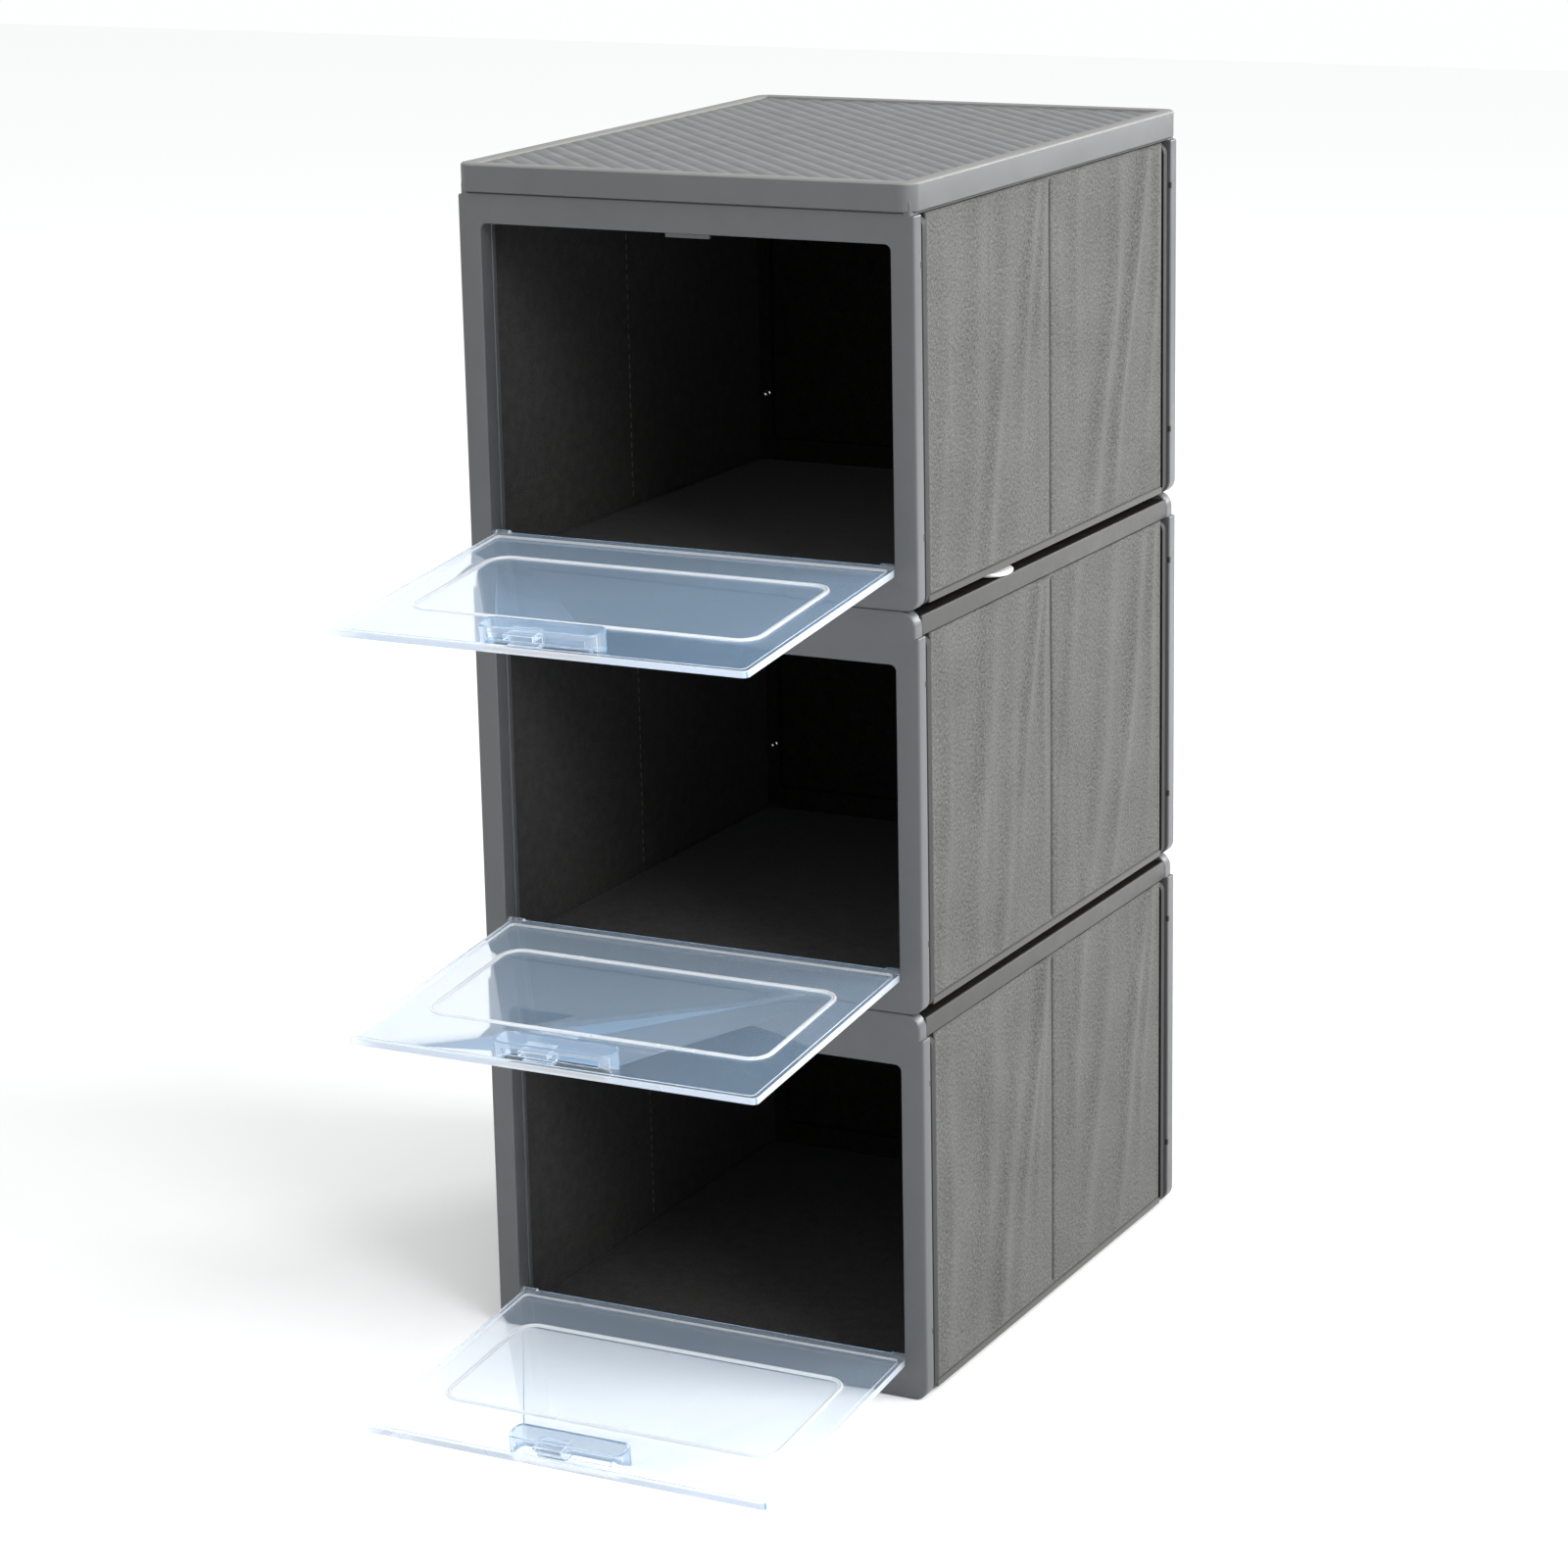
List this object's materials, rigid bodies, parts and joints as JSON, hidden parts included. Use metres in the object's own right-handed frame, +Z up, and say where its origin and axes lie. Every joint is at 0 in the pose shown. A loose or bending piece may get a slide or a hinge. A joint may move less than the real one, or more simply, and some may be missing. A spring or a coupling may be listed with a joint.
{
  "type": "stackable drop-front shoe box",
  "caption": "Stack of collapsible shoe boxes: moulded front and rear frames, fabric side walls that crease inwards, clear drop-front doors and a ribbed lid.",
  "frame": {"origin": "on the floor, at the middle of the stack's footprint without the open doors", "axes": "+X to the right, +Y from the doors to the back, +Z up"},
  "size_m": [0.2463, 0.4695, 0.6026],
  "materials": {
    "frame_plastic": "fine satin grain, grey moulded polypropylene",
    "lid_plastic": "satin grey polypropylene with fine moulded ribs",
    "clear_plastic": "clear, slightly milky moulded polystyrene",
    "side_fabric": "heathered warm grey linen-look polyester",
    "lining_fabric": "charcoal non-woven lining over stiffener board",
    "roof_binding": "smooth grey plastic edge",
    "white_nylon": "white nylon"
  },
  "bodies": {
    "tier_1_front": {"tier_1_front_frame": "frame_plastic", "tier_1_front_retainer": "frame_plastic", "tier_1_floor_front_leaf": "side_fabric", "tier_1_roof_front_leaf": "roof_binding", "tier_1_floor_disc": "white_nylon"},
    "tier_1_door_body": {"tier_1_door": "clear_plastic"},
    "tier_1_latch": {"tier_1_latch_tongue": "clear_plastic"},
    "tier_1_left_front_wall": {"tier_1_left_front_board": "lining_fabric", "tier_1_left_front_skin": "side_fabric"},
    "tier_1_left_rear_wall": {"tier_1_left_rear_board": "lining_fabric", "tier_1_left_rear_skin": "side_fabric"},
    "tier_1_right_front_wall": {"tier_1_right_front_board": "lining_fabric", "tier_1_right_front_skin": "side_fabric"},
    "tier_1_right_rear_wall": {"tier_1_right_rear_board": "lining_fabric", "tier_1_right_rear_skin": "side_fabric"},
    "tier_1_rear": {"tier_1_rear_frame": "frame_plastic", "tier_1_rear_retainer": "frame_plastic", "tier_1_back_panel": "lining_fabric", "tier_1_floor_rear_leaf": "side_fabric", "tier_1_roof_rear_leaf": "roof_binding"},
    "tier_2_front": {"tier_2_front_frame": "frame_plastic", "tier_2_front_retainer": "frame_plastic", "tier_2_floor_front_leaf": "side_fabric", "tier_2_roof_front_leaf": "roof_binding"},
    "tier_2_door_body": {"tier_2_door": "clear_plastic"},
    "tier_2_latch": {"tier_2_latch_tongue": "clear_plastic"},
    "tier_2_left_front_wall": {"tier_2_left_front_board": "lining_fabric", "tier_2_left_front_skin": "side_fabric"},
    "tier_2_left_rear_wall": {"tier_2_left_rear_board": "lining_fabric", "tier_2_left_rear_skin": "side_fabric"},
    "tier_2_right_front_wall": {"tier_2_right_front_board": "lining_fabric", "tier_2_right_front_skin": "side_fabric"},
    "tier_2_right_rear_wall": {"tier_2_right_rear_board": "lining_fabric", "tier_2_right_rear_skin": "side_fabric"},
    "tier_2_rear": {"tier_2_rear_frame": "frame_plastic", "tier_2_rear_retainer": "frame_plastic", "tier_2_back_panel": "lining_fabric", "tier_2_floor_rear_leaf": "side_fabric", "tier_2_roof_rear_leaf": "roof_binding"},
    "tier_3_front": {"tier_3_front_frame": "frame_plastic", "tier_3_front_retainer": "frame_plastic", "tier_3_floor_front_leaf": "side_fabric", "tier_3_roof_front_leaf": "roof_binding"},
    "tier_3_door_body": {"tier_3_door": "clear_plastic"},
    "tier_3_latch": {"tier_3_latch_tongue": "clear_plastic"},
    "tier_3_left_front_wall": {"tier_3_left_front_board": "lining_fabric", "tier_3_left_front_skin": "side_fabric"},
    "tier_3_left_rear_wall": {"tier_3_left_rear_board": "lining_fabric", "tier_3_left_rear_skin": "side_fabric"},
    "tier_3_right_front_wall": {"tier_3_right_front_board": "lining_fabric", "tier_3_right_front_skin": "side_fabric"},
    "tier_3_right_rear_wall": {"tier_3_right_rear_board": "lining_fabric", "tier_3_right_rear_skin": "side_fabric"},
    "tier_3_rear": {"tier_3_rear_frame": "frame_plastic", "tier_3_rear_retainer": "frame_plastic", "tier_3_back_panel": "lining_fabric", "tier_3_floor_rear_leaf": "side_fabric", "tier_3_roof_rear_leaf": "roof_binding"},
    "lid_body": {"lid": "lid_plastic"}
  },
  "joints": [
    {"name": "tier_3_left_front_fold", "type": "hinge", "parent": "tier_3_front", "child": "tier_3_left_front_wall", "pos_m": [-0.1178, -0.1428, 0.1], "axis": [0, 0, -1], "range_deg": [0, 50]},
    {"name": "tier_3_left_crease", "type": "hinge", "parent": "tier_3_left_front_wall", "child": "tier_3_left_rear_wall", "pos_m": [-0.1215, 0, 0.1], "axis": [0, 0, 1], "range_deg": [0, 100]},
    {"name": "tier_3_left_rear_fold", "type": "hinge", "parent": "tier_3_left_rear_wall", "child": "tier_3_rear", "pos_m": [-0.1178, 0.1428, 0.1], "axis": [0, 0, -1], "range_deg": [0, 50]},
    {"name": "tier_3_right_front_fold", "type": "hinge", "parent": "tier_3_front", "child": "tier_3_right_front_wall", "pos_m": [0.1178, -0.1428, 0.1], "axis": [0, 0, 1], "range_deg": [0, 50]},
    {"name": "tier_3_right_crease", "type": "hinge", "parent": "tier_3_right_front_wall", "child": "tier_3_right_rear_wall", "pos_m": [0.1215, 0, 0.1], "axis": [0, 0, -1], "range_deg": [0, 100]},
    {"name": "tier_3_door_hinge", "type": "hinge", "parent": "tier_3_front", "child": "tier_3_door_body", "pos_m": [0, -0.1558, 0.0192], "axis": [-1, 0, 0], "range_deg": [0, 96]},
    {"name": "tier_3_latch_press", "type": "slide", "parent": "tier_3_door_body", "child": "tier_3_latch", "axis": [0, 0.9945, 0.1045], "range_m": [0, 0.002], "stiffness_N_per_m": 150},
    {"name": "tier_2_left_front_fold", "type": "hinge", "parent": "tier_2_front", "child": "tier_2_left_front_wall", "pos_m": [-0.1178, -0.1428, 0.3], "axis": [0, 0, -1], "range_deg": [0, 50]},
    {"name": "tier_2_left_crease", "type": "hinge", "parent": "tier_2_left_front_wall", "child": "tier_2_left_rear_wall", "pos_m": [-0.1215, 0, 0.3], "axis": [0, 0, 1], "range_deg": [0, 100]},
    {"name": "tier_2_left_rear_fold", "type": "hinge", "parent": "tier_2_left_rear_wall", "child": "tier_2_rear", "pos_m": [-0.1178, 0.1428, 0.3], "axis": [0, 0, -1], "range_deg": [0, 50]},
    {"name": "tier_2_right_front_fold", "type": "hinge", "parent": "tier_2_front", "child": "tier_2_right_front_wall", "pos_m": [0.1178, -0.1428, 0.3], "axis": [0, 0, 1], "range_deg": [0, 50]},
    {"name": "tier_2_right_crease", "type": "hinge", "parent": "tier_2_right_front_wall", "child": "tier_2_right_rear_wall", "pos_m": [0.1215, 0, 0.3], "axis": [0, 0, -1], "range_deg": [0, 100]},
    {"name": "tier_2_door_hinge", "type": "hinge", "parent": "tier_2_front", "child": "tier_2_door_body", "pos_m": [0, -0.1558, 0.2192], "axis": [-1, 0, 0], "range_deg": [0, 96]},
    {"name": "tier_2_latch_press", "type": "slide", "parent": "tier_2_door_body", "child": "tier_2_latch", "axis": [0, 0.9945, 0.1045], "range_m": [0, 0.002], "stiffness_N_per_m": 150},
    {"name": "tier_1_left_front_fold", "type": "hinge", "parent": "tier_1_front", "child": "tier_1_left_front_wall", "pos_m": [-0.1178, -0.1428, 0.5], "axis": [0, 0, -1], "range_deg": [0, 50]},
    {"name": "tier_1_left_crease", "type": "hinge", "parent": "tier_1_left_front_wall", "child": "tier_1_left_rear_wall", "pos_m": [-0.1215, 0, 0.5], "axis": [0, 0, 1], "range_deg": [0, 100]},
    {"name": "tier_1_left_rear_fold", "type": "hinge", "parent": "tier_1_left_rear_wall", "child": "tier_1_rear", "pos_m": [-0.1178, 0.1428, 0.5], "axis": [0, 0, -1], "range_deg": [0, 50]},
    {"name": "tier_1_right_front_fold", "type": "hinge", "parent": "tier_1_front", "child": "tier_1_right_front_wall", "pos_m": [0.1178, -0.1428, 0.5], "axis": [0, 0, 1], "range_deg": [0, 50]},
    {"name": "tier_1_right_crease", "type": "hinge", "parent": "tier_1_right_front_wall", "child": "tier_1_right_rear_wall", "pos_m": [0.1215, 0, 0.5], "axis": [0, 0, -1], "range_deg": [0, 100]},
    {"name": "tier_1_door_hinge", "type": "hinge", "parent": "tier_1_front", "child": "tier_1_door_body", "pos_m": [0, -0.1558, 0.4192], "axis": [-1, 0, 0], "range_deg": [0, 96]},
    {"name": "tier_1_latch_press", "type": "slide", "parent": "tier_1_door_body", "child": "tier_1_latch", "axis": [0, 0.9945, 0.1045], "range_m": [0, 0.002], "stiffness_N_per_m": 150},
    {"name": "tier_2_lift", "type": "slide", "parent": "tier_3_front", "child": "tier_2_front", "axis": [0, 0, 1], "range_m": [0, 0.25]},
    {"name": "tier_1_lift", "type": "slide", "parent": "tier_2_front", "child": "tier_1_front", "axis": [0, 0, 1], "range_m": [0, 0.25]},
    {"name": "lid_lift", "type": "slide", "parent": "tier_1_front", "child": "lid_body", "axis": [0, 0, 1], "range_m": [0, 0.12]}
  ],
  "couplings": [
    {"joint": "tier_3_left_crease", "follows": "tier_3_left_front_fold", "ratio": 2},
    {"joint": "tier_3_left_rear_fold", "follows": "tier_3_left_front_fold", "ratio": 1},
    {"joint": "tier_3_right_front_fold", "follows": "tier_3_left_front_fold", "ratio": 1},
    {"joint": "tier_3_right_crease", "follows": "tier_3_left_front_fold", "ratio": 2},
    {"joint": "tier_2_left_front_fold", "follows": "tier_3_left_front_fold", "ratio": 1},
    {"joint": "tier_2_left_crease", "follows": "tier_3_left_front_fold", "ratio": 2},
    {"joint": "tier_2_left_rear_fold", "follows": "tier_3_left_front_fold", "ratio": 1},
    {"joint": "tier_2_right_front_fold", "follows": "tier_3_left_front_fold", "ratio": 1},
    {"joint": "tier_2_right_crease", "follows": "tier_3_left_front_fold", "ratio": 2},
    {"joint": "tier_1_left_front_fold", "follows": "tier_3_left_front_fold", "ratio": 1},
    {"joint": "tier_1_left_crease", "follows": "tier_3_left_front_fold", "ratio": 2},
    {"joint": "tier_1_left_rear_fold", "follows": "tier_3_left_front_fold", "ratio": 1},
    {"joint": "tier_1_right_front_fold", "follows": "tier_3_left_front_fold", "ratio": 1},
    {"joint": "tier_1_right_crease", "follows": "tier_3_left_front_fold", "ratio": 2}
  ]
}
